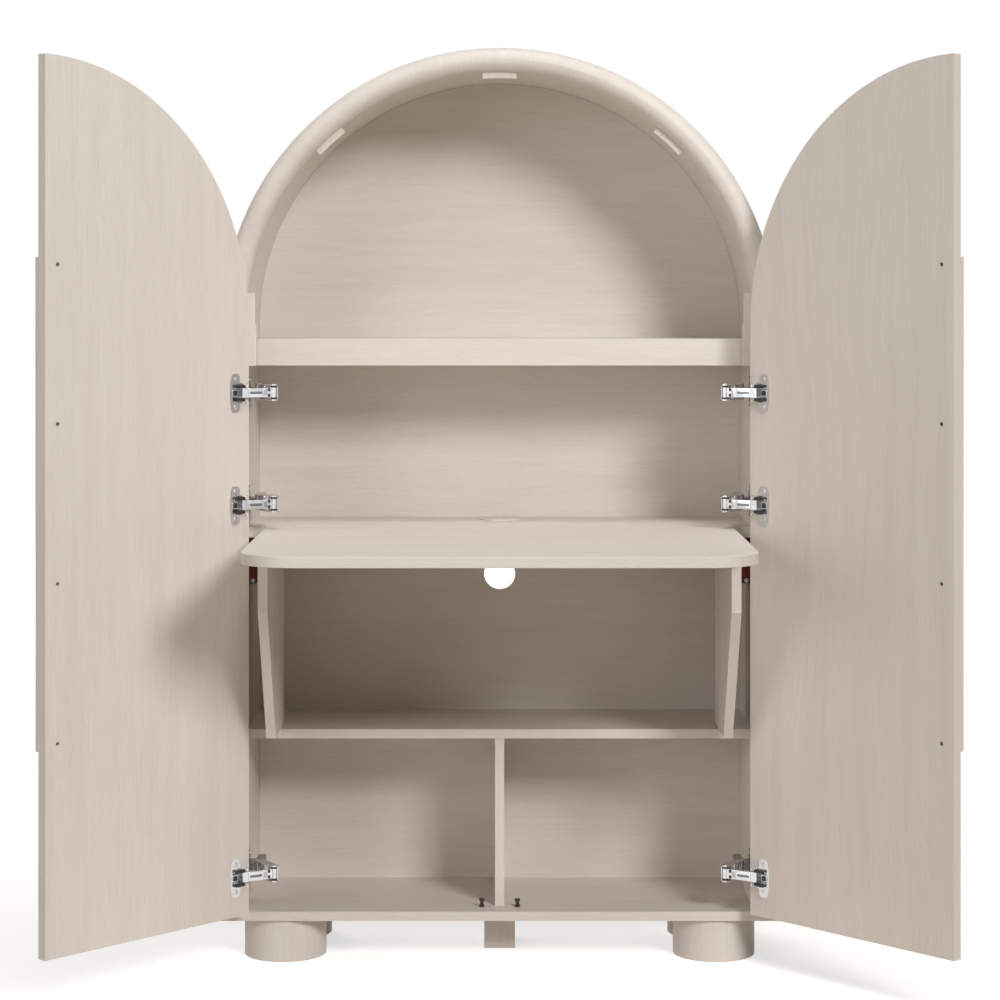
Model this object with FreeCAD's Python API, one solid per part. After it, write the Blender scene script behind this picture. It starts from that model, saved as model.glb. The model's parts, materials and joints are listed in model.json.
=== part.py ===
import FreeCAD, Part
import math
import os

# Arched desk cabinet. Millimetres, +Z up, front towards -Y, origin on the floor
# at the middle of the footprint. Built with the doors open, the leaf raised and
# its two brackets swung out. Left-hand pieces are mirrored for the right.

# Carcass
width = 964.0
depth = 305.0
wall = 42.0
board = 16.0
foot_height = 73.0
mid_shelf_top = 397.0
desk_top = 750.0
desk_board = 18.0
hutch_height = 282.0
upper_shelf_height = 46.0
arch_spring_rise = 24.0
shelf_setback = 44.5
divider_setback = 46.0
back_board = 12.0
back_recess = 23.0
panel_gap = 0.3
edge_round = 1.5
cut_overrun = 5.0

# Front frame with its half-round nose
frame_depth = 36.0

# Feet
foot_radius = 71.5
foot_inset = 106.0
foot_setback = 6.0
rear_foot_spacing = 156.0
centre_foot_width = 54.5
centre_foot_depth = 92.0
foot_round = 2.0

# Door stops round the arch
stop_length = 59.0
stop_height = 10.7
stop_depth = 18.0
stop_gap = 1.0
stop_angle = 42.5
spring_stop_height = 80.0
spring_stop_proud = 15.5
spring_stop_step_height = 27.0
spring_stop_step_proud = 17.5

# Cable openings
hole_radius = 28.5
hole_drop = 105.0
grommet_radius = 36.5
grommet_flange = 2.5
grommet_sleeve_radius = 30.0
grommet_sleeve_wall = 2.0
grommet_from_back = 60.0
grommet_cap_height = 4.0
grommet_slot_width = 18.0
grommet_slot_length = 16.0
grommet_gap = 0.2

# Cleats under the fixed desk board
cleat_width = 15.0
cleat_height = 82.0
cleat_setback = 60.0
cleat_screw_rise = 5.0

# Door catches on the bottom board
catch_x = 31.0
catch_radius = 4.5
catch_height = 14.0
catch_waist_radius = 3.0
catch_foot_height = 4.0
catch_setback = 38.0

# Doors
door_board = 18.0
door_gap = 2.5
centre_gap = 3.0
door_open_angle = 132.4
axis_out = 7.0
axis_ahead = 7.5

# Door pulls and their screws
pull_width = 50.0
pull_proud = 9.5
pull_rise = 26.0
pull_above_spring = 113.0
pull_round = 3.0
pull_screw_count = 4
pull_screw_margin = 12.0
pull_screw_well = 8.0
pull_screw_well_radius = 3.5
pull_screw_bite = 6.0

# Screws
screw_radius = 2.0
screw_head_radius = 3.9
screw_head = 1.6
screw_length = 12.0

# Concealed door hinges
lower_hinge_rise = 69.0
hutch_hinge_inset = 45.0
cup_radius = 17.5
cup_depth = 11.0
cup_wall = 1.0
cup_from_edge = 24.0
cup_gap = 0.1
saddle_reach = 6.5
saddle_gap = 0.06
flange_length = 66.0
flange_width = 20.0
flange_bow = 2.5
flange_bow_radius = 127.0
flange_round = 7.0
flange_plate = 1.5
flange_offset = 8.0
flange_screw_pitch = 48.0
yoke_height = 28.0
yoke_cheek = 1.8
yoke_radius = 7.5
yoke_web = 1.8
yoke_web_start = 20.0
arm_radius = 7.3
arm_length = 54.0
arm_pivot_in = 22.3
arm_pivot_back = 30.0
link_pivot_in = 51.2
link_pivot_ahead = 11.2
link_reach = 59.6
link_height = 16.0
link_board = 4.0
link_knuckle = 5.0
link_angle = 212.9
slide_gap = 0.3
pin_radius = 2.0
pin_gap = 0.05
plate_board = 2.5
plate_length = 46.0
plate_height = 54.0
plate_neck = 17.0
plate_setback = 38.0
plate_screw_rise = 20.0

# Desk leaf
leaf_side_gap = 32.0
leaf_depth = 529.0
leaf_corner = 90.0
leaf_setback = 39.5
leaf_seam = 2.5
leaf_round = 1.0

# Butt hinges in the leaf's seam
seam_hinge_spacing = 280.0
seam_hinge_count = 3
seam_hinge_length = 60.0
seam_hinge_radius = 2.5
seam_hinge_plate = 1.2
seam_hinge_plate_height = 12.0
seam_hinge_rise = 2.6
seam_groove_gap = 0.4
seam_bevel = 2.8
seam_pin_radius = 1.2
seam_knuckle_gap = 0.3

# Swing brackets
bracket_board = 16.0
bracket_inset = 51.0
bracket_top_length = 340.0
bracket_bottom_length = 179.0
bracket_nose_height = 99.0
bracket_setback = 111.0
bracket_bottom_gap = 3.0
bracket_top_gap = 0.3
bracket_pivot_inset = 10.0
bracket_pin_radius = 4.0
bracket_pin_bite = 12.0
bracket_pin_gap = 0.05

# Worked-out places
front = -depth / 2
outer_radius = width / 2
inner_radius = outer_radius - wall
nose_radius = wall / 2
bottom_top = foot_height + board
upper_shelf_top = desk_top + hutch_height + upper_shelf_height
spring_height = upper_shelf_top + arch_spring_rise
hole_height = desk_top - hole_drop
foot_x = outer_radius - foot_inset
pull_bottom = mid_shelf_top + pull_rise
pull_top = spring_height + pull_above_spring
hinge_heights = [
    bottom_top + lower_hinge_rise,
    desk_top + hutch_hinge_inset,
    desk_top + hutch_height - hutch_hinge_inset,
]
leaf_width = 2 * (inner_radius - leaf_side_gap)
bracket_x = inner_radius - bracket_inset
back_front = depth / 2 - back_recess - back_board
shelf_front = front + shelf_setback
desk_under = desk_top - desk_board
leaf_rear = front + leaf_setback
desk_front = leaf_rear + leaf_seam
door_radius = inner_radius - door_gap
door_bottom = bottom_top + door_gap
door_inner_y = front + door_board
axis_x = -(door_radius + axis_out)
axis_y = front - axis_ahead
bracket_rear = front + bracket_setback
bracket_axis_y = bracket_rear - bracket_pivot_inset
bracket_bottom = mid_shelf_top + bracket_bottom_gap
bracket_top = desk_under - bracket_top_gap
seam_y = leaf_rear + leaf_seam / 2
seam_z = desk_under + seam_hinge_rise
seam_plate_top = seam_z + seam_hinge_plate_height
seam_hinge_xs = [
    (number - (seam_hinge_count - 1) / 2) * seam_hinge_spacing for number in range(seam_hinge_count)
]
pull_screw_step = (pull_top - pull_bottom - 2 * pull_screw_margin) / (pull_screw_count - 1)
pull_screw_heights = [
    pull_bottom + pull_screw_margin + number * pull_screw_step for number in range(pull_screw_count)
]
tongue_height = yoke_height - 2 * yoke_cheek - 2 * slide_gap
arm_pivot = FreeCAD.Vector(-inner_radius + arm_pivot_in, front + arm_pivot_back, 0)
link_pivot = FreeCAD.Vector(-inner_radius + link_pivot_in, front - link_pivot_ahead, 0)
up = FreeCAD.Vector(0, 0, 1)
back = FreeCAD.Vector(0, 1, 0)
right = FreeCAD.Vector(1, 0, 0)


def block(x0, x1, y0, y1, z0, z1):
    return Part.makeBox(x1 - x0, y1 - y0, z1 - z0, FreeCAD.Vector(x0, y0, z0))


def rod(radius, length, base, direction):
    return Part.makeCylinder(radius, length, base, direction)


def prism(points, direction):
    wire = Part.makePolygon([FreeCAD.Vector(*point) for point in points + points[:1]])
    return Part.Face(wire).extrude(direction)


def arch_disc(radius, y0, y1):
    base = FreeCAD.Vector(0, y0, spring_height)
    return rod(radius, y1 - y0, base, back)


def half_disc(radius, y0, y1):
    upper = block(-2 * radius, 2 * radius, y0, y1, spring_height, spring_height + 2 * radius)
    return arch_disc(radius, y0, y1).common(upper)


def half_ring(inner, outer, y0, y1):
    return half_disc(outer, y0, y1).cut(arch_disc(inner, y0 - cut_overrun, y1 + cut_overrun))


def arched_panel(half_width, y0, y1, bottom):
    body = block(-half_width, half_width, y0, y1, bottom, spring_height)
    return body.fuse(half_disc(half_width, y0, y1)).removeSplitter()


def mirrored(shape):
    return shape.mirror(FreeCAD.Vector(0, 0, 0), right)


def rounded(shape, radius, keep):
    edges = [edge for edge in shape.Edges if keep(edge)]
    return shape.makeFillet(radius, edges)


def group(shapes):
    return Part.makeCompound(shapes)


def save(name, shape):
    shape.exportStep("parts/" + name + ".step")
    print(name, len(shape.Solids), round(shape.Volume), shape.isValid())


def save_pair(name, shape):
    save(name + "_left", shape)
    save(name + "_right", mirrored(shape))


def open_door(shape):
    turned = shape.copy()
    turned.rotate(FreeCAD.Vector(axis_x, axis_y, 0), up, -door_open_angle)
    return turned


def screw(base, direction):
    head = rod(screw_head_radius, screw_head, base, direction)
    shank = rod(screw_radius, screw_length, base, direction * -1)
    return head.fuse(shank).removeSplitter()


def carcass():
    side = block(-outer_radius, -inner_radius, front + frame_depth, depth / 2,
                 bottom_top, spring_height)
    save_pair("side_panel", side.cut(wall_screws()))
    save("arch_shell", half_ring(inner_radius, outer_radius, front + frame_depth, depth / 2))
    nose_x = -inner_radius - nose_radius
    nose_centre = FreeCAD.Vector(nose_x, front + nose_radius, bottom_top)
    post = block(-outer_radius, -inner_radius, front + nose_radius, front + frame_depth,
                 bottom_top, spring_height)
    nose = rod(nose_radius, spring_height - bottom_top, nose_centre, up)
    ahead = block(-outer_radius, -inner_radius, front, front + nose_radius, bottom_top, spring_height)
    stile = post.fuse(nose.common(ahead)).removeSplitter()
    save_pair("front_stile", stile)
    top_faces = [face for face in stile.Faces if face.CenterOfMass.z > spring_height - cut_overrun / 2]
    arch = top_faces[0].revolve(FreeCAD.Vector(0, 0, spring_height), back, 180)
    save("front_arch", arch)
    hole = rod(hole_radius, depth, FreeCAD.Vector(0, front, hole_height), back)
    panel = arched_panel(inner_radius - panel_gap, back_front, back_front + back_board, bottom_top)
    save("back_panel", panel.cut(hole))
    bottom = block(-outer_radius, outer_radius, front, depth / 2, foot_height, bottom_top)
    save("bottom_board", bottom)


def shelves():
    shelf = block(-inner_radius, inner_radius, shelf_front, back_front, mid_shelf_top - board, mid_shelf_top)
    save("mid_shelf", shelf.cut(bracket_pins(bracket_pin_gap)))
    upper_bottom = upper_shelf_top - upper_shelf_height
    upper = block(-inner_radius, inner_radius, shelf_front, back_front, upper_bottom, upper_shelf_top)
    save("upper_shelf", upper)
    half = board / 2
    divider = block(-half, half, front + divider_setback, back_front, bottom_top, mid_shelf_top - board)
    save("lower_divider", divider)
    desk = block(-inner_radius, inner_radius, desk_front, back_front, desk_under, desk_top)
    desk = desk.cut(grommet_hole()).cut(bracket_pins(bracket_pin_gap)).cut(seam_groove())
    save("desk_board", desk.cut(seam_recess(1)))


def feet():
    base = FreeCAD.Vector(-foot_x, front + foot_setback + foot_radius, 0)
    foot = rod(foot_radius, foot_height, base, up)
    foot = rounded(foot, foot_round, lambda edge: edge.BoundBox.ZMax < foot_round)
    save_pair("front_foot", foot)
    save_pair("rear_foot", foot.translated(back * rear_foot_spacing))
    half_width = centre_foot_width / 2
    half_depth = centre_foot_depth / 2
    save("centre_foot", block(-half_width, half_width, -half_depth, half_depth, 0, foot_height))


def door_stops():
    y0 = door_inner_y + stop_gap
    ring = half_ring(inner_radius - stop_height, inner_radius, y0, y0 + stop_depth)
    half = stop_length / 2
    top = ring.common(block(-half, half, front, depth, spring_height, spring_height + outer_radius))
    save("door_stop_top", top)
    side = top.copy()
    side.rotate(FreeCAD.Vector(0, 0, spring_height), back, -stop_angle)
    save_pair("door_stop", side)
    post = block(-inner_radius, -inner_radius + spring_stop_proud, y0, y0 + stop_depth, upper_shelf_top,
                 upper_shelf_top + spring_stop_height)
    step = block(-inner_radius, -inner_radius + spring_stop_step_proud, y0, y0 + stop_depth,
                 upper_shelf_top - upper_shelf_height, upper_shelf_top + spring_stop_step_height)
    shelf_end = post.fuse(step).removeSplitter()
    wall_side = arch_disc(inner_radius, front, depth).fuse(
        block(-inner_radius, inner_radius, front, depth, upper_shelf_top - upper_shelf_height, spring_height))
    save_pair("spring_stop", shelf_end.common(wall_side))


def grommet_hole():
    centre_y = back_front - grommet_from_back
    base = FreeCAD.Vector(0, centre_y, desk_under - cut_overrun)
    return rod(grommet_sleeve_radius + grommet_gap, desk_board + 2 * cut_overrun, base, up)


def grommet():
    centre = FreeCAD.Vector(0, back_front - grommet_from_back, desk_top)
    bore = grommet_sleeve_radius - grommet_sleeve_wall
    flange = rod(grommet_radius, grommet_flange, centre, up)
    sleeve = rod(grommet_sleeve_radius, desk_board, centre, up * -1)
    tunnel = rod(bore, 2 * desk_board + 2 * cut_overrun, centre - up * (desk_board + cut_overrun), up)
    ring = flange.fuse(sleeve).removeSplitter().cut(tunnel)
    save("desk_grommet", ring)
    ledge = centre + up * (grommet_flange - grommet_cap_height)
    cap = rod(bore - grommet_gap, grommet_cap_height, ledge, up)
    half = grommet_slot_width / 2
    slot_end = centre.y + bore - grommet_slot_length
    slot = block(-half, half, slot_end, centre.y + grommet_radius, desk_under, desk_top + desk_board)
    save("desk_grommet_cap", cap.cut(slot))


def desk_cleats():
    y0 = front + cleat_setback
    bottom = desk_under - cleat_height
    cleat = block(-inner_radius, -inner_radius + cleat_width, y0, back_front, bottom, desk_under)
    head = FreeCAD.Vector(-inner_radius + cleat_width / 2, y0, bottom + cleat_screw_rise)
    fixing = screw(head, back * -1)
    save_pair("desk_cleat", cleat.cut(fixing))
    save("desk_cleat_screws", group([fixing, mirrored(fixing)]))


def catches():
    y = front + catch_setback
    waist_rise = catch_height - 2 * catch_foot_height
    foot = rod(catch_radius, catch_foot_height, FreeCAD.Vector(-catch_x, y, bottom_top), up)
    waist_base = FreeCAD.Vector(-catch_x, y, bottom_top + catch_foot_height)
    waist = rod(catch_waist_radius, waist_rise, waist_base, up)
    head_base = waist_base + up * waist_rise
    head = rod(catch_radius, catch_foot_height, head_base, up)
    save_pair("door_catch", foot.fuse([waist, head]).removeSplitter())


def cup_centre(height):
    return FreeCAD.Vector(-door_radius + cup_from_edge, door_inner_y, height)


def pull_screw_x():
    return -centre_gap / 2 - pull_width / 2


def doors():
    panel = block(-door_radius, -centre_gap / 2, front, door_inner_y,
                  door_bottom, spring_height + outer_radius)
    outline = arch_disc(door_radius, front, door_inner_y).fuse(
        block(-door_radius, door_radius, front, door_inner_y, door_bottom, spring_height))
    door = panel.common(outline).removeSplitter()
    for height in hinge_heights:
        door = door.cut(rod(cup_radius + cup_gap, cup_depth + cup_gap, cup_centre(height), back * -1))
    for height in pull_screw_heights:
        mouth = FreeCAD.Vector(pull_screw_x(), door_inner_y, height)
        well = rod(pull_screw_well_radius + cup_gap, pull_screw_well, mouth, back * -1)
        shaft = rod(screw_radius, door_board, mouth, back * -1)
        door = door.cut(well).cut(shaft)
    door = door.cut(group(cup_screws()))
    save_pair("door", open_door(door))
    pull_x0 = -centre_gap / 2 - pull_width
    pull = block(pull_x0, -centre_gap / 2, front - pull_proud, front, pull_bottom, pull_top)
    outside = front - pull_proud + cut_overrun / 2
    pull = rounded(pull, pull_round, lambda edge: edge.BoundBox.YMax < outside)
    pull = pull.cut(group(pull_screws()))
    save_pair("door_pull", open_door(pull))
    save_pair("pull_screws", open_door(group(pull_screws())))


def pull_screws():
    screws = []
    for height in pull_screw_heights:
        seat = FreeCAD.Vector(pull_screw_x(), door_inner_y - pull_screw_well, height)
        reach = door_board - pull_screw_well + pull_screw_bite
        head = rod(pull_screw_well_radius, screw_head, seat, back)
        screws.append(head.fuse(rod(screw_radius, reach, seat, back * -1)).removeSplitter())
    return screws


def cup_screws():
    screws = []
    for height in hinge_heights:
        for side in (-1, 1):
            x = cup_centre(height).x + flange_offset
            z = height + side * flange_screw_pitch / 2
            screws.append(screw(FreeCAD.Vector(x, door_inner_y + flange_plate, z), back))
    return screws


def link_tip():
    angle = math.radians(link_angle)
    return link_pivot + FreeCAD.Vector(math.cos(angle), math.sin(angle), 0) * link_reach


def cup_saddle(centre):
    # Seat in the cup that the link's tip slides on, measured with the door shut
    tip = Part.Vertex(link_tip())
    tip.rotate(FreeCAD.Vector(axis_x, axis_y, 0), up, door_open_angle)
    seat_y = tip.Point.y - link_board / 2 - saddle_gap
    seat = rod(cup_radius, cup_depth + seat_y - door_inner_y, centre - back * cup_depth, back)
    edge = centre.x - saddle_reach
    return seat.common(block(edge - cup_radius, edge, centre.y - cup_depth, seat_y,
                             centre.z - cup_radius, centre.z + cup_radius))


def hinge_cup(height):
    centre = cup_centre(height)
    shell = rod(cup_radius, cup_depth, centre, back * -1)
    half_width = flange_width / 2
    half_length = flange_length / 2
    x = centre.x + flange_offset
    far_edge = x + half_width + flange_bow
    flange = block(x - half_width, far_edge, door_inner_y, door_inner_y + flange_plate,
                   height - half_length, height + half_length)
    bow_centre = FreeCAD.Vector(far_edge - flange_bow_radius, door_inner_y, height)
    flange = flange.common(rod(flange_bow_radius, flange_plate, bow_centre, back))
    flange = rounded(flange, flange_round, lambda edge: edge.BoundBox.YLength > flange_plate / 2)
    rim = rod(cup_radius + cup_wall, flange_plate, centre, back)
    hollow_base = centre + back * (flange_plate + cut_overrun)
    hollow_length = flange_plate + cut_overrun + cup_depth - cup_wall
    hollow = rod(cup_radius - cup_wall, hollow_length, hollow_base, back * -1)
    cup = shell.fuse([flange, rim]).removeSplitter().cut(hollow)
    cup = cup.fuse(cup_saddle(centre)).removeSplitter()
    return cup.cut(group(cup_screws()))


def pivot_pin(pivot, radius, height):
    return rod(radius, yoke_height, pivot + up * (height - yoke_height / 2), up)


def round_bar(start, end, radius, z0, z1):
    rise = z1 - z0
    run = end - start
    bar = Part.makeBox(run.Length, 2 * radius, rise, FreeCAD.Vector(0, -radius, 0))
    bar.rotate(FreeCAD.Vector(0, 0, 0), up, math.degrees(math.atan2(run.y, run.x)))
    bar.translate(start + up * z0)
    ends = [rod(radius, rise, point + up * z0, up) for point in (start, end)]
    return bar.fuse(ends).removeSplitter()


def hinge_arm(height):
    half = tongue_height / 2
    arm = round_bar(arm_pivot, arm_pivot + back * arm_length, arm_radius, height - half, height + half)
    return arm.cut(pivot_pin(arm_pivot, pin_radius, height))


def hinge_yoke(height):
    half = yoke_height / 2
    outer = round_bar(arm_pivot, link_pivot, yoke_radius, height - half, height + half)
    mouth = half - yoke_cheek
    inner = block(-outer_radius, 0, 2 * front, 0, height - mouth, height + mouth)
    along = (link_pivot - arm_pivot).normalize()
    across = up.cross(along)
    web_foot = arm_pivot + along * yoke_web_start + across * (yoke_radius - yoke_web)
    web_run = (link_pivot - arm_pivot).Length - yoke_web_start
    web = Part.makeBox(web_run, yoke_web, 2 * mouth)
    web.rotate(FreeCAD.Vector(0, 0, 0), up, math.degrees(math.atan2(along.y, along.x)))
    web.translate(web_foot + up * (height - mouth))
    yoke = outer.cut(inner).fuse(web).removeSplitter()
    yoke = yoke.cut(pivot_pin(arm_pivot, pin_radius + pin_gap, height))
    return yoke.cut(pivot_pin(link_pivot, pin_radius, height))


def hinge_link(height):
    half = link_height / 2
    bar = round_bar(link_pivot, link_tip(), link_board / 2, height - half, height + half)
    knuckle = rod(link_knuckle, tongue_height, link_pivot + up * (height - tongue_height / 2), up)
    return knuckle.fuse(bar).removeSplitter().cut(pivot_pin(link_pivot, pin_radius + pin_gap, height))


def hinge_plate(height):
    x0 = -inner_radius
    y0 = front + plate_setback
    half = plate_height / 2
    half_spine = tongue_height / 2
    wing_y0 = y0 + plate_length / 2 - plate_neck / 2
    spine = block(x0, x0 + plate_board, y0, y0 + plate_length, height - half_spine, height + half_spine)
    wings = block(x0, x0 + plate_board, wing_y0, wing_y0 + plate_neck, height - half, height + half)
    riser = block(x0, arm_pivot.x - arm_radius, y0 + plate_board, y0 + plate_length - plate_board,
                  height - half_spine / 2, height + half_spine / 2)
    return spine.fuse([wings, riser]).removeSplitter().cut(group(plate_screws(height)))


def plate_screws(height):
    y = front + plate_setback + plate_length / 2
    x = -inner_radius + plate_board
    places = [FreeCAD.Vector(x, y, height + side * plate_screw_rise) for side in (-1, 1)]
    return [screw(place, right) for place in places]


def wall_screws():
    return group(sum([plate_screws(height) for height in hinge_heights], []))


def door_hinges():
    save_pair("hinge_cups", open_door(group([hinge_cup(height) for height in hinge_heights])))
    save_pair("hinge_cup_screws", open_door(group(cup_screws())))
    save_pair("hinge_links", group([hinge_link(height) for height in hinge_heights]))
    link_pins = group([pivot_pin(link_pivot, pin_radius, height) for height in hinge_heights])
    save_pair("hinge_link_pins", link_pins)
    save_pair("hinge_yokes", group([hinge_yoke(height) for height in hinge_heights]))
    save_pair("hinge_arms", group([hinge_arm(height) for height in hinge_heights]))
    save_pair("hinge_plates", group([hinge_plate(height) for height in hinge_heights]))
    arm_pins = group([pivot_pin(arm_pivot, pin_radius, height) for height in hinge_heights])
    save("hinge_arm_pins", group([arm_pins, mirrored(arm_pins)]))
    save("hinge_plate_screws", group([wall_screws(), mirrored(wall_screws())]))


def seam_groove():
    length = seam_hinge_length + 2 * seam_groove_gap
    grooves = []
    for x in seam_hinge_xs:
        base = FreeCAD.Vector(x - length / 2, seam_y, seam_z)
        bore = rod(seam_hinge_radius + seam_groove_gap, length, base, right)
        mouth = block(base.x, base.x + length, seam_y - seam_hinge_radius - seam_groove_gap,
                      seam_y + seam_hinge_radius + seam_groove_gap, desk_under - cut_overrun, seam_z)
        grooves.append(bore.fuse(mouth))
    return group(grooves)


def seam_plate(x, side, z0):
    face = seam_y + side * leaf_seam / 2
    inner = face + side * seam_hinge_plate
    half = seam_hinge_length / 2
    return block(x - half, x + half, min(face, inner), max(face, inner), z0, seam_plate_top)


def seam_recess(side):
    return group([seam_plate(x, side, seam_z) for x in seam_hinge_xs])


def seam_pin(x, radius):
    base = FreeCAD.Vector(x - seam_hinge_length / 2, seam_y, seam_z)
    return rod(radius, seam_hinge_length, base, right)


def seam_hinge_half(x, side):
    third = seam_hinge_length / 3
    start = x - seam_hinge_length / 2
    spans = [(start, start + third), (start + 2 * third, start + seam_hinge_length)]
    bore_radius = seam_pin_radius
    if side < 0:
        spans = [(start + third + seam_knuckle_gap, start + 2 * third - seam_knuckle_gap)]
        bore_radius = seam_pin_radius + pin_gap
    face = seam_y + side * leaf_seam / 2
    inner = face + side * seam_hinge_plate
    plate_bottom = seam_z + seam_hinge_radius + seam_knuckle_gap
    pieces = []
    for x0, x1 in spans:
        pieces.append(rod(seam_hinge_radius, x1 - x0, FreeCAD.Vector(x0, seam_y, seam_z), right))
        pieces.append(block(x0, x1, min(face, inner), max(face, inner), seam_z, plate_bottom))
    plate = seam_plate(x, side, plate_bottom)
    return plate.fuse(pieces).removeSplitter().cut(seam_pin(x, bore_radius))


def leaf():
    half = leaf_width / 2
    y0 = leaf_rear - leaf_depth
    top = block(-half, half, y0, leaf_rear, desk_under, desk_top)
    top = rounded(top, leaf_corner, lambda edge: edge.BoundBox.ZLength > desk_board / 2
                  and edge.BoundBox.YMax < y0 + leaf_round)
    top = rounded(top, leaf_round, lambda edge: edge.BoundBox.ZLength < leaf_round
                  and edge.BoundBox.YMin < leaf_rear - leaf_round)
    bevel = [
        (-half, leaf_rear - seam_bevel, desk_under),
        (-half, leaf_rear, desk_under + seam_bevel),
        (-half, leaf_rear, desk_under),
    ]
    top = top.cut(prism(bevel, right * leaf_width))
    top = top.cut(seam_groove()).cut(seam_recess(-1))
    save("desk_leaf", top)
    save("leaf_hinge_fixed_halves", group([seam_hinge_half(x, 1) for x in seam_hinge_xs]))
    save("leaf_hinge_moving_halves", group([seam_hinge_half(x, -1) for x in seam_hinge_xs]))
    save("leaf_hinge_pins", group([seam_pin(x, seam_pin_radius) for x in seam_hinge_xs]))


def bracket_pins(gap):
    pins = []
    for centre_x in (-bracket_x, bracket_x):
        for height, drop in ((desk_under, bracket_top_gap), (mid_shelf_top, bracket_bottom_gap)):
            base = FreeCAD.Vector(centre_x, bracket_axis_y, height - bracket_pin_bite - drop)
            pins.append(rod(bracket_pin_radius + gap, 2 * bracket_pin_bite + 2 * drop, base, up))
    return group(pins)


def brackets():
    x0 = -bracket_x - bracket_board / 2
    top_front = bracket_rear - bracket_top_length
    bottom_front = bracket_rear - bracket_bottom_length
    outline = [
        (x0, bracket_rear, bracket_bottom),
        (x0, bracket_rear, bracket_top),
        (x0, top_front, bracket_top),
        (x0, top_front, bracket_top - bracket_nose_height),
        (x0, bottom_front, bracket_bottom),
    ]
    plate = prism(outline, right * bracket_board)
    plate = rounded(plate, bracket_board / 2 - edge_round,
                    lambda edge: edge.BoundBox.YMin > bracket_rear - edge_round
                    and edge.BoundBox.ZLength > board)
    save_pair("bracket", plate.cut(bracket_pins(0)))
    save("bracket_pins_left", group([pin for pin in bracket_pins(0).Solids if pin.CenterOfMass.x < 0]))
    save("bracket_pins_right", group([pin for pin in bracket_pins(0).Solids if pin.CenterOfMass.x > 0]))


os.makedirs("parts", exist_ok=True)
carcass()
shelves()
feet()
door_stops()
grommet()
desk_cleats()
catches()
doors()
door_hinges()
leaf()
brackets()
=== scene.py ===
import json
import math

import bmesh
import bpy
import numpy as np
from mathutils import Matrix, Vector


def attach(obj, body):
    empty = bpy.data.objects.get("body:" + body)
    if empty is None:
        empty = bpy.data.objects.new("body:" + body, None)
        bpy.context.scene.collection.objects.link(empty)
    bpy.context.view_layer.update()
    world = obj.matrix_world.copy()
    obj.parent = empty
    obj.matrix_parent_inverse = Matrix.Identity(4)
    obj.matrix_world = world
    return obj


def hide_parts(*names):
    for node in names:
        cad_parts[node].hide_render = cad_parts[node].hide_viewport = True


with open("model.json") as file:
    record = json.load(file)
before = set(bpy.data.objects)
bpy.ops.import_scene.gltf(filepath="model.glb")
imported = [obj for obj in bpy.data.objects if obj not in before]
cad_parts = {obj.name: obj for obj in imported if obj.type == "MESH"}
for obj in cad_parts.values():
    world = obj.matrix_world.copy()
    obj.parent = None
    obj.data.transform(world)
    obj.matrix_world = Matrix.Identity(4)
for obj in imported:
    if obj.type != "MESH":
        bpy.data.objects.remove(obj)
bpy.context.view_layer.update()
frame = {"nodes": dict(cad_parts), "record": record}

# Places shared with the part's source, in metres, for the left-hand side
HINGE_HEIGHTS = (0.158, 0.795, 0.987)
DOOR_AXIS = np.array([-0.4445, -0.160])
DOOR_EDGE = 0.007
DOOR_FACE = 0.0255
DOOR_OPEN = math.radians(132.4)
FLANGE_FROM_EDGE = 0.032
FLANGE_TOP = 0.0015
FLANGE_SCREW_HALF_PITCH = 0.024
ARM_PIVOT = np.array([-0.4177, -0.1225])
LINK_PIVOT = np.array([-0.3888, -0.1637])
LINK_ANGLE = math.radians(212.9)
LINK_HALF_BOARD = 0.002
YOKE_HALF_HEIGHT = 0.014
ARM_FACE_X = -0.4104
PLATE_SCREW_X = -0.4375
PLATE_SCREW_Y = -0.0915
PLATE_SCREW_RISE = 0.020
CLEAT_SCREW = (-0.4325, -0.0925, 0.655)
SCREW_RADIUS = 0.0039
SCREW_HEAD = 0.0016
FLANGE_SCREW_HEAD = 0.0011
SPRING_HEIGHT = 1.102
ARCH_GRAIN_RADIUS = 0.46

UP = np.array([0.0, 0.0, 1.0])
ALONG_DOOR = np.array([math.cos(DOOR_OPEN), -math.sin(DOOR_OPEN), 0.0])
OFF_DOOR = np.array([math.sin(DOOR_OPEN), math.cos(DOOR_OPEN), 0.0])
ALONG_LINK = np.array([math.cos(LINK_ANGLE), math.sin(LINK_ANGLE), 0.0])
OFF_LINK = np.array([-math.sin(LINK_ANGLE), math.cos(LINK_ANGLE), 0.0])


def flat(point, z):
    return np.array([point[0], point[1], z])


def on_door(along, off, z):
    """A point on the open left door: along from its hinge edge, off its inner face."""
    return flat(DOOR_AXIS, z) + ALONG_DOOR * (along + DOOR_EDGE) + OFF_DOOR * (off + DOOR_FACE)


# Surfaces

SHARP_ANGLE = math.radians(38)


def skin(grid):
    """Quads over a grid of points: rows are stations, columns run round and close."""
    rows, columns = grid.shape[:2]
    index = np.arange(rows * columns).reshape(rows, columns)
    near, far = index[:-1], index[1:]
    quads = np.stack([near, np.roll(near, -1, 1), np.roll(far, -1, 1), far], -1).reshape(-1, 4)
    return grid.reshape(-1, 3), [tuple(q) for q in quads.tolist()], index


def loft(grid):
    """A closed skin whose first and last stations are capped by one flat face each."""
    points, quads, index = skin(grid)
    return points, quads + [tuple(index[0][::-1].tolist()), tuple(index[-1].tolist())]


def superellipse(count, power):
    """A unit rounded square: cosine and sine with their size raised to 2 over the power."""
    angle = np.linspace(0.0, 2 * np.pi, count, endpoint=False)
    c, s = np.cos(angle), np.sin(angle)
    return np.sign(c) * np.abs(c) ** (2 / power), np.sign(s) * np.abs(s) ** (2 / power)


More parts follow.
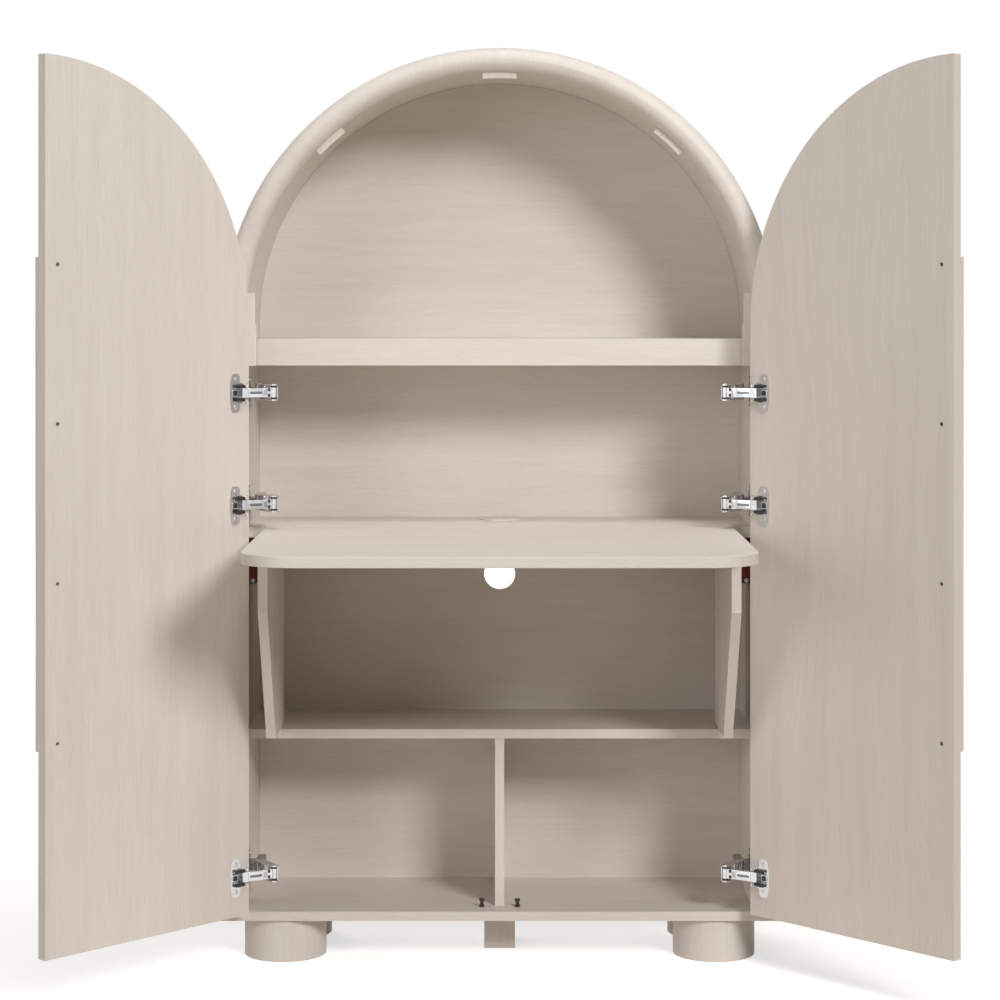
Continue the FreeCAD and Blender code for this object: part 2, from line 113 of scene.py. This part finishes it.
def frame_of(axis):
    """Two unit directions square to the axis and to each other."""
    axis = axis / np.linalg.norm(axis)
    helper = UP if abs(axis[2]) < 0.9 else np.array([1.0, 0.0, 0.0])
    first = np.cross(helper, axis)
    first /= np.linalg.norm(first)
    return first, np.cross(axis, first), axis


def eased_slab(centre, along, across, out, half_length, half_width, thickness, ease, power=8.0):
    """A plate with rounded corners: one rounded-square outline at rising levels, drawn in
    by a quarter circle of the given ease at the top."""
    c, s = superellipse(48, power)
    turn = np.linspace(0.0, np.pi / 2, 6)
    inset = np.concatenate([[0.0], ease * (1 - np.cos(turn))])
    level = np.concatenate([[0.0], thickness - ease + ease * np.sin(turn)])
    x = (half_length - inset)[:, None] * c
    y = (half_width - inset)[:, None] * s
    grid = (centre + x[..., None] * along + y[..., None] * across + level[:, None, None] * out)
    return loft(grid)


def cross_head(seat, out, radius, rise, turn):
    """A screw head: a low dome over polar stations, less a cross-shaped well at its middle
    whose depth falls off smoothly from the arms' sides and ends."""
    first, second, out = frame_of(np.asarray(out, float))
    angle = np.linspace(0.0, 2 * np.pi, 64, endpoint=False)
    share = np.concatenate([[1.0, 1.0], np.linspace(0.97, 0.02, 22)])
    r = radius * share[:, None]
    x, y = r * np.cos(angle), r * np.sin(angle)
    tx = x * math.cos(turn) + y * math.sin(turn)
    ty = y * math.cos(turn) - x * math.sin(turn)
    dome = rise * (0.45 + 0.55 * np.sqrt(np.clip(1 - share ** 2, 0, 1)))[:, None]
    arm = np.minimum(np.abs(tx), np.abs(ty)) / radius
    end = np.maximum(np.abs(tx), np.abs(ty)) / radius
    well = np.clip((0.17 - arm) / 0.06, 0, 1) * np.clip((0.60 - end) / 0.08, 0, 1)
    height = dome - 0.75 * rise * well
    height[0] = 0.0
    grid = seat + x[..., None] * first + y[..., None] * second + height[..., None] * out
    return loft(grid)


def rivet(seat, out, radius, rise):
    """A domed rivet head: a quarter circle turned about its axis."""
    first, second, out = frame_of(np.asarray(out, float))
    angle = np.linspace(0.0, 2 * np.pi, 32, endpoint=False)
    bend = np.linspace(0.0, np.pi / 2 * 0.96, 9)
    r = radius * np.cos(bend)[:, None]
    h = rise * np.sin(bend)[:, None] + 0 * angle
    grid = (seat + (r * np.cos(angle))[..., None] * first
            + (r * np.sin(angle))[..., None] * second + h[..., None] * out)
    return loft(grid)


def wire(path, radius):
    """A round section carried along a path of points, square to the path's own direction."""
    ahead = np.gradient(path, axis=0)
    ahead /= np.linalg.norm(ahead, axis=1)[:, None]
    side = np.cross(ahead, OFF_DOOR + 0.31 * UP)
    side /= np.linalg.norm(side, axis=1)[:, None]
    rise = np.cross(side, ahead)
    angle = np.linspace(0.0, 2 * np.pi, 12, endpoint=False)
    c, s = np.cos(angle)[None, :, None], np.sin(angle)[None, :, None]
    return loft(path[:, None] + radius * (c * side[:, None] + s * rise[:, None]))


def mirror(part):
    points, faces = part
    return points * np.array([-1.0, 1.0, 1.0]), [face[::-1] for face in faces]


def joined(parts):
    points, faces, start = [], [], 0
    for part_points, part_faces in parts:
        points.append(part_points)
        faces += [tuple(i + start for i in face) for face in part_faces]
        start += len(part_points)
    return np.concatenate(points), faces


def put(name, parts, material, body, replaced=()):
    points, faces = joined(parts)
    mesh = bpy.data.meshes.new(name)
    mesh.from_pydata(points.tolist(), [], faces)
    shell = bmesh.new()
    shell.from_mesh(mesh)
    bmesh.ops.recalc_face_normals(shell, faces=shell.faces)
    shell.to_mesh(mesh)
    shell.free()
    mesh.shade_smooth()
    mesh.set_sharp_from_angle(angle=SHARP_ANGLE)
    mesh.materials.append(material)
    piece = bpy.data.objects.new(name, mesh)
    bpy.context.scene.collection.objects.link(piece)
    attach(piece, body)
    if replaced:
        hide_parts(*replaced)
    return piece


def put_pair(name, parts, material, body, replaced=None):
    """Puts the left-hand piece and its mirror image on the bodies of the two sides."""
    for side in ("left", "right"):
        own = parts if side == "left" else [mirror(part) for part in parts]
        put(f"{name}_{side}", own, material, body.format(side=side),
            (f"{replaced}_{side}",) if replaced else ())


# Shader groups and materials

GRAIN_MIDDLE = 0.56
GRAIN_BEND = 0.09
BAND_WEIGHT = 0.55
FINE_WEIGHT = 0.62
BROAD_WEIGHT = 0.35
PORE_WEIGHT = -0.20


def socket(group, name, way, kind, value=None):
    made = group.interface.new_socket(name=name, in_out=way, socket_type=kind)
    if value is not None:
        made.default_value = value


class Sheet:
    """A node tree with short calls to add nodes and links."""

    def __init__(self, tree):
        self.tree = tree

    def add(self, kind, **settings):
        node = self.tree.nodes.new(kind)
        for key, value in settings.items():
            setattr(node, key, value)
        return node

    def join(self, out, into):
        self.tree.links.new(out, into)

    def feed(self, into, value):
        if isinstance(value, bpy.types.NodeSocket):
            self.join(value, into)
        else:
            into.default_value = value

    def maths(self, operation, first, second=0.0, third=0.0):
        node = self.add("ShaderNodeMath", operation=operation)
        for into, value in zip(node.inputs, (first, second, third)):
            self.feed(into, value)
        return node.outputs[0]

    def vector(self, x, y, z):
        node = self.add("ShaderNodeCombineXYZ")
        for into, value in zip(node.inputs, (x, y, z)):
            self.feed(into, value)
        return node.outputs[0]

    def noise(self, vector, scale, detail, roughness=0.5):
        node = self.add("ShaderNodeTexNoise")
        self.join(vector, node.inputs["Vector"])
        node.inputs["Scale"].default_value = scale
        node.inputs["Detail"].default_value = detail
        node.inputs["Roughness"].default_value = roughness
        return node.outputs["Fac"]

    def blend(self, share, first, second):
        """A colour between two colours, by the share of the second."""
        node = self.add("ShaderNodeMix", data_type="RGBA")
        self.join(share, node.inputs[0])
        self.feed(node.inputs[6], first)
        self.feed(node.inputs[7], second)
        return node.outputs[2]

    def seen_directly(self):
        """One for camera, glossy and transmission rays, nothing for light on the object."""
        path = self.add("ShaderNodeLightPath")
        seen = self.maths("MAXIMUM", path.outputs["Is Camera Ray"], path.outputs["Is Glossy Ray"])
        return self.maths("MAXIMUM", seen, path.outputs["Is Transmission Ray"])

    def ranged(self, value, low, high, to_low, to_high):
        node = self.add("ShaderNodeMapRange")
        self.feed(node.inputs["Value"], value)
        numbers = {"From Min": low, "From Max": high, "To Min": to_low, "To Max": to_high}
        for key, number in numbers.items():
            node.inputs[key].default_value = number
        return node.outputs["Result"]


def grain_group():
    """Veneer grain along X: slow warps bend broad bands, fine streaks and short pores."""
    tree = bpy.data.node_groups.new("veneer_grain", "ShaderNodeTree")
    socket(tree, "Vector", "INPUT", "NodeSocketVector")
    socket(tree, "Light", "INPUT", "NodeSocketColor", (0.74, 0.67, 0.60, 1.0))
    socket(tree, "Dark", "INPUT", "NodeSocketColor", (0.58, 0.51, 0.44, 1.0))
    socket(tree, "Color", "OUTPUT", "NodeSocketColor")
    socket(tree, "Roughness", "OUTPUT", "NodeSocketFloat")
    socket(tree, "Height", "OUTPUT", "NodeSocketFloat")
    s = Sheet(tree)
    given = s.add("NodeGroupInput")
    made = s.add("NodeGroupOutput")
    parts = s.add("ShaderNodeSeparateXYZ")
    s.join(given.outputs["Vector"], parts.inputs[0])
    x, y, z = parts.outputs
    slow = s.noise(s.vector(s.maths("MULTIPLY", x, 1.6), s.maths("MULTIPLY", y, 5.0),
                            s.maths("MULTIPLY", z, 5.0)), 1.0, 2.0)
    bend = s.maths("MULTIPLY", s.maths("SUBTRACT", slow, 0.5), GRAIN_BEND)
    yw = s.maths("ADD", y, bend)
    zw = s.maths("ADD", z, bend)

    def streaks(along, across, detail, roughness):
        return s.noise(s.vector(s.maths("MULTIPLY", x, along), s.maths("MULTIPLY", yw, across),
                                s.maths("MULTIPLY", zw, across)), 1.0, detail, roughness)

    bands = streaks(1.7, 34.0, 3.0, 0.55)
    fine = streaks(7.0, 260.0, 3.0, 0.6)
    dashes = s.ranged(streaks(34.0, 620.0, 1.0, 0.5), 0.60, 0.72, 0.0, 1.0)
    broad = s.noise(s.vector(x, y, z), 2.2, 1.0)
    mix = GRAIN_MIDDLE
    for layer, weight in ((bands, BAND_WEIGHT), (fine, FINE_WEIGHT), (broad, BROAD_WEIGHT)):
        mix = s.maths("MULTIPLY_ADD", s.maths("SUBTRACT", layer, 0.5), weight, mix)
    mix = s.maths("MULTIPLY_ADD", dashes, PORE_WEIGHT, mix)
    s.join(s.blend(mix, given.outputs["Dark"], given.outputs["Light"]), made.inputs["Color"])
    s.join(s.ranged(mix, 0.2, 0.9, 0.56, 0.44), made.inputs["Roughness"])
    s.join(s.maths("MULTIPLY_ADD", dashes, -0.6, fine), made.inputs["Height"])
    return tree


def arch_group():
    """Turns object coordinates into radius, length along the arch and depth."""
    tree = bpy.data.node_groups.new("arch_coordinates", "ShaderNodeTree")
    socket(tree, "Vector", "INPUT", "NodeSocketVector")
    socket(tree, "Vector", "OUTPUT", "NodeSocketVector")
    s = Sheet(tree)
    given = s.add("NodeGroupInput")
    made = s.add("NodeGroupOutput")
    parts = s.add("ShaderNodeSeparateXYZ")
    s.join(given.outputs[0], parts.inputs[0])
    x, y, z = parts.outputs
    rise = s.maths("SUBTRACT", z, SPRING_HEIGHT)
    radius = s.maths("SQRT", s.maths("MULTIPLY_ADD", x, x, s.maths("MULTIPLY", rise, rise)))
    length = s.maths("MULTIPLY", s.maths("ARCTAN2", x, rise), ARCH_GRAIN_RADIUS)
    s.join(s.vector(radius, length, y), made.inputs[0])
    return tree


def speckle_group():
    """Small even variation for metal and plastic: a fine and a broad noise."""
    tree = bpy.data.node_groups.new("surface_speckle", "ShaderNodeTree")
    socket(tree, "Vector", "INPUT", "NodeSocketVector")
    socket(tree, "Fine", "OUTPUT", "NodeSocketFloat")
    socket(tree, "Broad", "OUTPUT", "NodeSocketFloat")
    s = Sheet(tree)
    given = s.add("NodeGroupInput")
    made = s.add("NodeGroupOutput")
    s.join(s.noise(given.outputs[0], 1400.0, 2.0), made.inputs["Fine"])
    s.join(s.noise(given.outputs[0], 90.0, 3.0), made.inputs["Broad"])
    return tree


grain = grain_group()
arch_coordinates = arch_group()
speckle = speckle_group()
OAK_LIGHT = (0.770, 0.714, 0.664, 1.0)
OAK_DARK = (0.610, 0.546, 0.488, 1.0)
RED_LIGHT = (0.210, 0.022, 0.015, 1.0)
RED_DARK = (0.090, 0.010, 0.008, 1.0)
GRAIN_TURNS = {"x": (0.0, 0.0, 0.0), "z": (0.0, math.pi / 2, 0.0), "y": (0.0, 0.0, math.pi / 2),
               "radial": (0.0, 0.0, 0.0), "depth": (0.0, math.pi / 2, 0.0)}


def blank(name):
    material = bpy.data.materials.new(name)
    material.use_nodes = True
    s = Sheet(material.node_tree)
    shader = material.node_tree.nodes["Principled BSDF"]
    place = s.add("ShaderNodeTexCoord").outputs["Object"]
    return material, s, shader, place


def wood(name, run, number, light=OAK_LIGHT, dark=OAK_DARK):
    """A veneer whose grain runs along one axis, shifted so that no two panels match."""
    material, s, shader, place = blank(name)
    if run in ("radial", "depth"):
        turned = s.add("ShaderNodeGroup")
        turned.node_tree = arch_coordinates
        s.join(place, turned.inputs[0])
        place = turned.outputs[0]
    mapping = s.add("ShaderNodeMapping")
    mapping.inputs["Location"].default_value = (0.37 * number, 0.83 * number, 0.59 * number)
    mapping.inputs["Rotation"].default_value = GRAIN_TURNS[run]
    s.join(place, mapping.inputs["Vector"])
    figure = s.add("ShaderNodeGroup")
    figure.node_tree = grain
    figure.inputs["Light"].default_value = light
    figure.inputs["Dark"].default_value = dark
    s.join(mapping.outputs[0], figure.inputs["Vector"])
    bump = s.add("ShaderNodeBump")
    bump.inputs["Strength"].default_value = 0.10
    bump.inputs["Distance"].default_value = 0.0004
    s.join(figure.outputs["Height"], bump.inputs["Height"])
    s.join(figure.outputs["Color"], shader.inputs["Base Color"])
    s.join(figure.outputs["Roughness"], shader.inputs["Roughness"])
    s.join(bump.outputs[0], shader.inputs["Normal"])
    shader.inputs["Specular IOR Level"].default_value = 0.35
    return material


def solid(name, low, high, metallic, rough_low, rough_high, bump_strength):
    """A plain metal or plastic, its colour and gloss varied a little by the speckle."""
    material, s, shader, place = blank(name)
    spots = s.add("ShaderNodeGroup")
    spots.node_tree = speckle
    s.join(place, spots.inputs[0])
    s.join(s.blend(spots.outputs["Broad"], low, high), shader.inputs["Base Color"])
    gloss = s.ranged(spots.outputs["Broad"], 0.3, 0.7, rough_low, rough_high)
    s.join(gloss, shader.inputs["Roughness"])
    bump = s.add("ShaderNodeBump")
    bump.inputs["Strength"].default_value = bump_strength
    bump.inputs["Distance"].default_value = 0.0002
    s.join(spots.outputs["Fine"], bump.inputs["Height"])
    s.join(bump.outputs[0], shader.inputs["Normal"])
    shader.inputs["Metallic"].default_value = metallic
    return material


def grey(low, high, blue=0.0):
    """Two greys, the dark and the light end of a finish, with a little blue."""
    return [(value, value, value + blue, 1.0) for value in (low, high)]


nickel = solid("bright_nickel", (0.56, 0.57, 0.59, 1), (0.70, 0.71, 0.73, 1), 1.0, 0.14, 0.26, 0.03)
# A darker copy of the nickel, used on the hinge arms and plates: painted shade that darkens their
# faces.
nickel_painted_shade = solid("nickel_painted_shade", (0.24, 0.24, 0.25, 1), (0.34, 0.34, 0.36, 1), 1.0, 0.18, 0.30,
                    0.03)
zinc = solid("zinc_plate", *grey(0.52, 0.66, 0.01), 1.0, 0.24, 0.36, 0.05)
nylon = solid("black_nylon", (0.010, 0.010, 0.010, 1), (0.022, 0.022, 0.023, 1), 0.0, 0.42, 0.56,
              0.08)
# Near-black steel for the pull screws: painted shade of the deep wells they sit in.
painted_well_shade_steel = solid("screw_painted_well_shade", *grey(0.05, 0.09), 1.0, 0.35, 0.5, 0.05)
# A darker copy of steel for the pressed channels on the link plates: painted shade of the grooves.
painted_channel_shade = solid("shaded_steel", *grey(0.13, 0.22, 0.01), 1.0, 0.30, 0.42, 0.05)
pale_plastic = solid("pale_plastic", (0.66, 0.59, 0.52, 1), (0.70, 0.63, 0.56, 1), 0.0, 0.45, 0.55,
                     0.06)

ACROSS = ("back_panel", "mid_shelf", "upper_shelf", "bottom_board", "desk_board", "desk_leaf")
GRAIN_RUNS = {**dict.fromkeys(ACROSS, "x"), "front_arch": "radial", "arch_shell": "depth"}
SLOT_MATERIALS = {"nickel": nickel, "steel": zinc, "black_plastic": nylon, "grommet": pale_plastic}


def dress(nodes, slots):
    """Gives each CAD node the finish of its slot, every wooden one its own grain; the hinge arms
    and plates take a darker copy of the nickel and the pull screws a near-black steel, both painted
    shade.
    """
    for number, (name, piece) in enumerate(sorted(nodes.items())):
        slot = slots[name]
        if slot == "oak":
            material = wood(f"oak_{name}", GRAIN_RUNS.get(name, "z"), number)
        elif slot == "red_hardwood":
            material = wood(f"hardwood_{name}", "y", number, RED_LIGHT, RED_DARK)
        # The pull screws take near-black steel: painted shade of their wells.
        elif name.startswith("pull_screws"):
            material = painted_well_shade_steel
        # Hinge arms and plates take the darker nickel copy: painted shade.
        elif name.startswith(("hinge_arms", "hinge_plates")):
            material = nickel_painted_shade
        else:
            material = SLOT_MATERIALS[slot]
        piece.data.materials.clear()
        piece.data.materials.append(material)


dress(frame["nodes"], {part["node"]: part["material_slot"] for part in frame["record"]["subparts"]})


# Hinge details

LONG_PLATE_REACH = 0.0365
SHORT_PLATE_REACH = 0.0176
INSERT_FROM_EDGE = 0.0325
INSERT_TOP = 0.0012
RIVET_RADIUS = 0.0036
RIVET_RISE = 0.0011
DAMPER_LENGTH = 0.020
DAMPER_RIBS = 5
LOOP_RADIUS = 0.0034
LOOP_WIRE = 0.0006
BUSH_RADIUS = 0.00525
BUSH_HALF_WALL = 0.00025
ARM_COVER_Y = -0.0885
ADJUSTER_SHIFT = 0.0095
CUP_FLOOR = -0.0099


def ribbed_damper(height, side):
    """A moulded block beside the link: a rounded-square section carried along the door,
    its size waved by five ribs and drawn in at both ends."""
    t = np.linspace(0.0, 1.0, 61)
    c, s = superellipse(28, 4.5)
    ends = np.clip(np.minimum(t, 1 - t) / 0.05, 0, 1)
    wave = np.cos(2 * np.pi * DAMPER_RIBS * t)
    size = (0.80 + 0.20 * np.sqrt(1 - (1 - ends) ** 2)) * (0.95 + 0.05 * wave)
    start = on_door(0.0145, FLANGE_TOP + 0.0031, height + side * 0.0114)
    grid = (start + (t * DAMPER_LENGTH)[:, None, None] * ALONG_DOOR
            + (0.0030 * size[:, None] * c)[..., None] * OFF_DOOR
            + (0.0031 * size[:, None] * s)[..., None] * UP)
    return loft(grid)


def spring_loop(height, side):
    """A spring's wire end: most of a circle beside the damper, in the door's plane."""
    turn = np.linspace(-0.4 * np.pi, 1.0 * np.pi, 40)
    middle = on_door(0.0120, FLANGE_TOP + 0.0052, height + side * 0.0135)
    path = (middle - LOOP_RADIUS * np.cos(turn)[:, None] * ALONG_DOOR
            + side * LOOP_RADIUS * np.sin(turn)[:, None] * UP)
    return wire(path, LOOP_WIRE)


def viewer_side():
    """The side of the link that faces away from the door."""
    return OFF_LINK if OFF_LINK @ OFF_DOOR > 0 else -OFF_LINK


def on_link(reach, height, level, half_length, half_width, thickness):
    """An eased plate on the link's open face, its middle at a reach from the elbow."""
    out = viewer_side()
    seat = flat(LINK_PIVOT, height) + ALONG_LINK * reach + out * (LINK_HALF_BOARD + level)
    ease = thickness * 0.45
    return eased_slab(seat, ALONG_LINK, UP, out, half_length, half_width, thickness, ease)


def link_cover(height):
    """Two pressed plates on the link, a long one and a short one next to the elbow."""
    return [on_link(LONG_PLATE_REACH, height, 0.0, 0.0135, 0.0077, 0.0011),
            on_link(SHORT_PLATE_REACH, height, 0.0, 0.0038, 0.0072, 0.0008)]


def link_channels(height):
    """The pressed lines of the plates: one wide channel lengthways, three short ones across, drawn
    as thin strips in a dark steel that is painted shade of the grooves.
    """
    across = [on_link(SHORT_PLATE_REACH + shift, height, 0.0007, 0.0005, 0.0052, 0.0003)
              for shift in (-0.0022, 0.0, 0.0022)]
    return across + [on_link(LONG_PLATE_REACH, height, 0.0010, 0.0118, 0.0022, 0.0003)]


def elbow_block(height, side):
    """A dark stop between the elbow and the plates."""
    return on_link(0.0107, height + side * 0.0048, 0.0, 0.0021, 0.0027, 0.0010)


def cup_insert(height):
    """The cup's inner part beyond the link's tip: a rounded block on the cup's floor."""
    foot = on_door(INSERT_FROM_EDGE, CUP_FLOOR, height)
    return eased_slab(foot, ALONG_DOOR, UP, OFF_DOOR, 0.0066, 0.0064, 0.0112, 0.0008)


def cup_buffer(height):
    """A square buffer on the insert."""
    foot = on_door(INSERT_FROM_EDGE, INSERT_TOP, height)
    return eased_slab(foot, ALONG_DOOR, UP, OFF_DOOR, 0.0044, 0.0044, 0.0012, 0.0004, 6.0)


def elbow_bush(height, side):
    """A bush round the link's knuckle: a ring section turned about the pivot."""
    angle = np.linspace(0.0, 2 * np.pi, 40, endpoint=False)
    c, s = superellipse(16, 5.0)
    r = BUSH_RADIUS + BUSH_HALF_WALL * c[:, None]
    z = height + side * 0.0100 + 0.0016 * s[:, None] + 0 * angle
    grid = np.stack([LINK_PIVOT[0] + r * np.cos(angle), LINK_PIVOT[1] + r * np.sin(angle), z], -1)
    points, quads, index = skin(grid)
    seam = np.stack([index[-1], np.roll(index[-1], -1), np.roll(index[0], -1), index[0]], -1)
    return points, quads + [tuple(q) for q in seam.tolist()]


def arm_cover(height):
    """A plate on the arm's inner side with its two adjusting screws."""
    out = np.array([1.0, 0.0, 0.0])
    along = np.array([0.0, 1.0, 0.0])
    centre = np.array([ARM_FACE_X, ARM_COVER_Y, height])
    plate = eased_slab(centre, along, UP, out, 0.0195, 0.0100, 0.0010, 0.0006)
    heads = [cross_head(centre + out * 0.001 + along * shift, out, 0.0042, 0.0012, 0.4 + shift * 90)
             for shift in (-ADJUSTER_SHIFT, ADJUSTER_SHIFT)]
    return [plate] + heads


flange_screws, plate_screws, rivets = [], [], []
dampers, loops, inserts, bushes = [], [], [], []
covers, channels, arm_covers = [], [], []
for number, height in enumerate(HINGE_HEIGHTS):
    for side in (-1, 1):
        seat = on_door(FLANGE_FROM_EDGE, FLANGE_TOP, height + side * FLANGE_SCREW_HALF_PITCH)
        turn = 0.5 + number + side
        flange_screws.append(cross_head(seat, OFF_DOOR, SCREW_RADIUS, FLANGE_SCREW_HEAD, turn))
        seat = np.array([PLATE_SCREW_X, PLATE_SCREW_Y, height + side * PLATE_SCREW_RISE])
        turn = 0.2 + number - side
        plate_screws.append(cross_head(seat, (1, 0, 0), SCREW_RADIUS, SCREW_HEAD, turn))
        dampers.append(ribbed_damper(height, side))
        loops.append(spring_loop(height, side))
        bushes += [elbow_bush(height, side), elbow_block(height, side)]
        for pivot in (ARM_PIVOT, LINK_PIVOT):
            seat = flat(pivot, height + side * YOKE_HALF_HEIGHT)
            rivets.append(rivet(seat, UP * side, RIVET_RADIUS, RIVET_RISE))
    covers += link_cover(height)
    channels += link_channels(height)
    inserts.append(cup_insert(height))
    dampers.append(cup_buffer(height))
    arm_covers += arm_cover(height)

put_pair("flange_screws", flange_screws, zinc, "{side}_door", "hinge_cup_screws")
put_pair("hinge_dampers", dampers, nylon, "{side}_door")
put_pair("hinge_cup_inserts", inserts, nickel, "{side}_door")
put_pair("hinge_elbow_bushes", bushes, nylon, "{side}_hinge_links")
put_pair("hinge_spring_ends", loops, nickel, "{side}_door")
put_pair("hinge_link_covers", covers, nickel, "{side}_hinge_links")
# The channels' dark steel is painted shade.
put_pair("hinge_link_channels", channels, painted_channel_shade, "{side}_hinge_links")
put_pair("hinge_rivets", rivets, nickel, "{side}_hinge_yokes")
put_pair("hinge_arm_covers", arm_covers, nickel, "carcass")
plate_screws += [mirror(part) for part in plate_screws]
put("plate_screws", plate_screws, zinc, "carcass", ("hinge_plate_screws",))
cleat_screw = cross_head(np.array(CLEAT_SCREW), (0, -1, 0), SCREW_RADIUS, SCREW_HEAD, 0.7)
cleat_screws = [cleat_screw, mirror(cleat_screw)]
put("cleat_screws", cleat_screws, zinc, "carcass", ("desk_cleat_screws",))


# Studio

FLOOR_COLOUR_NEAR = (0.86, 0.81, 0.74, 1.0)
FLOOR_COLOUR_FAR = (0.46, 0.40, 0.33, 1.0)
FLOOR_GLOW_NEAR = 0.62
FLOOR_GLOW_FAR = 1.08
FLOOR_GLOW_COLOUR = (0.93, 0.965, 1.0, 1.0)
AMBIENT = 0.06
AMBIENT_COLOUR = (1.0, 0.76, 0.54, 1.0)
WHITE = (1.0, 1.0, 1.0, 1.0)
FLOOR_RINGS = (0.02, 1.0, 3.0, 8.0, 20.0, 40.0)
FLOOR_COLOUR_SPAN = (0.35, 1.3)
FLOOR_GLOW_SPAN = (0.5, 2.4)
SENSOR_WIDTH = 36.0
FOCAL_LENGTH = 94.72
CAMERA_SHIFT = -0.1990
CAMERA_PLACE = (0.0007, -4.700, 1.1445)
LAMP_AIM = (0.0, 0.0, 0.80)
# Name, place, size and power of each lamp
LAMPS = (
    ("key", (5.40, -9.24, 6.20), 3.4, 800.0),
    ("fill", (-6.00, -6.20, 2.60), 5.0, 172.0),
    ("top", (0.30, -2.40, 6.20), 2.5, 150.0),
    ("back", (-3.00, 7.00, 3.20), 4.0, 230.0),
)


def floor():
    """A wide round floor: rings of points at growing radius."""
    angle = np.linspace(0.0, 2 * np.pi, 96, endpoint=False)
    radius = np.array(FLOOR_RINGS)
    grid = np.stack([radius[:, None] * np.cos(angle), radius[:, None] * np.sin(angle),
                     np.zeros((len(radius), len(angle)))], -1)
    points, quads, index = skin(grid)
    mesh = bpy.data.meshes.new("floor")
    mesh.from_pydata(points.tolist(), [], [q[::-1] for q in quads] + [tuple(index[0].tolist())])
    material, s, shader, place = blank("pale_floor")
    shader.inputs["Roughness"].default_value = 0.9
    shader.inputs["Specular IOR Level"].default_value = 0.0
    shader.inputs["Emission Color"].default_value = FLOOR_GLOW_COLOUR
    length = s.add("ShaderNodeVectorMath", operation="LENGTH")
    s.join(place, length.inputs[0])
    distance = length.outputs["Value"]
    share = s.ranged(distance, *FLOOR_COLOUR_SPAN, 0.0, 1.0)
    s.join(s.blend(share, FLOOR_COLOUR_NEAR, FLOOR_COLOUR_FAR), shader.inputs["Base Color"])
    glow = s.ranged(distance, *FLOOR_GLOW_SPAN, FLOOR_GLOW_NEAR, FLOOR_GLOW_FAR)
    s.join(s.maths("MULTIPLY", s.seen_directly(), glow), shader.inputs["Emission Strength"])
    mesh.materials.append(material)
    made = bpy.data.objects.new("floor", mesh)
    bpy.context.scene.collection.objects.link(made)


def surroundings():
    """White to the camera and in reflections, dimmer as light on the object."""
    world = bpy.data.worlds.new("studio")
    bpy.context.scene.world = world
    world.use_nodes = True
    s = Sheet(world.node_tree)
    background = world.node_tree.nodes["Background"]
    seen = s.seen_directly()
    s.join(s.blend(seen, AMBIENT_COLOUR, WHITE), background.inputs["Color"])
    s.join(s.ranged(seen, 0.0, 1.0, AMBIENT, 1.0), background.inputs["Strength"])


def softbox(name, place, aim, size, power):
    lamp = bpy.data.lights.new(name, "AREA")
    lamp.shape = "DISK"
    lamp.size = size
    lamp.energy = power
    made = bpy.data.objects.new(name, lamp)
    made.location = place
    made.rotation_euler = (Vector(aim) - Vector(place)).to_track_quat("-Z", "Y").to_euler()
    bpy.context.scene.collection.objects.link(made)


def camera():
    lens = bpy.data.cameras.new("front_view")
    lens.sensor_width = SENSOR_WIDTH
    lens.lens = FOCAL_LENGTH
    lens.shift_y = CAMERA_SHIFT
    made = bpy.data.objects.new("front_view", lens)
    made.location = CAMERA_PLACE
    made.rotation_euler = (math.pi / 2, 0.0, 0.0)
    bpy.context.scene.collection.objects.link(made)
    bpy.context.scene.camera = made


floor()
surroundings()
for lamp_name, lamp_place, lamp_size, lamp_power in LAMPS:
    softbox(lamp_name, lamp_place, LAMP_AIM, lamp_size, lamp_power)
camera()
bpy.context.scene.view_settings.view_transform = "Standard"
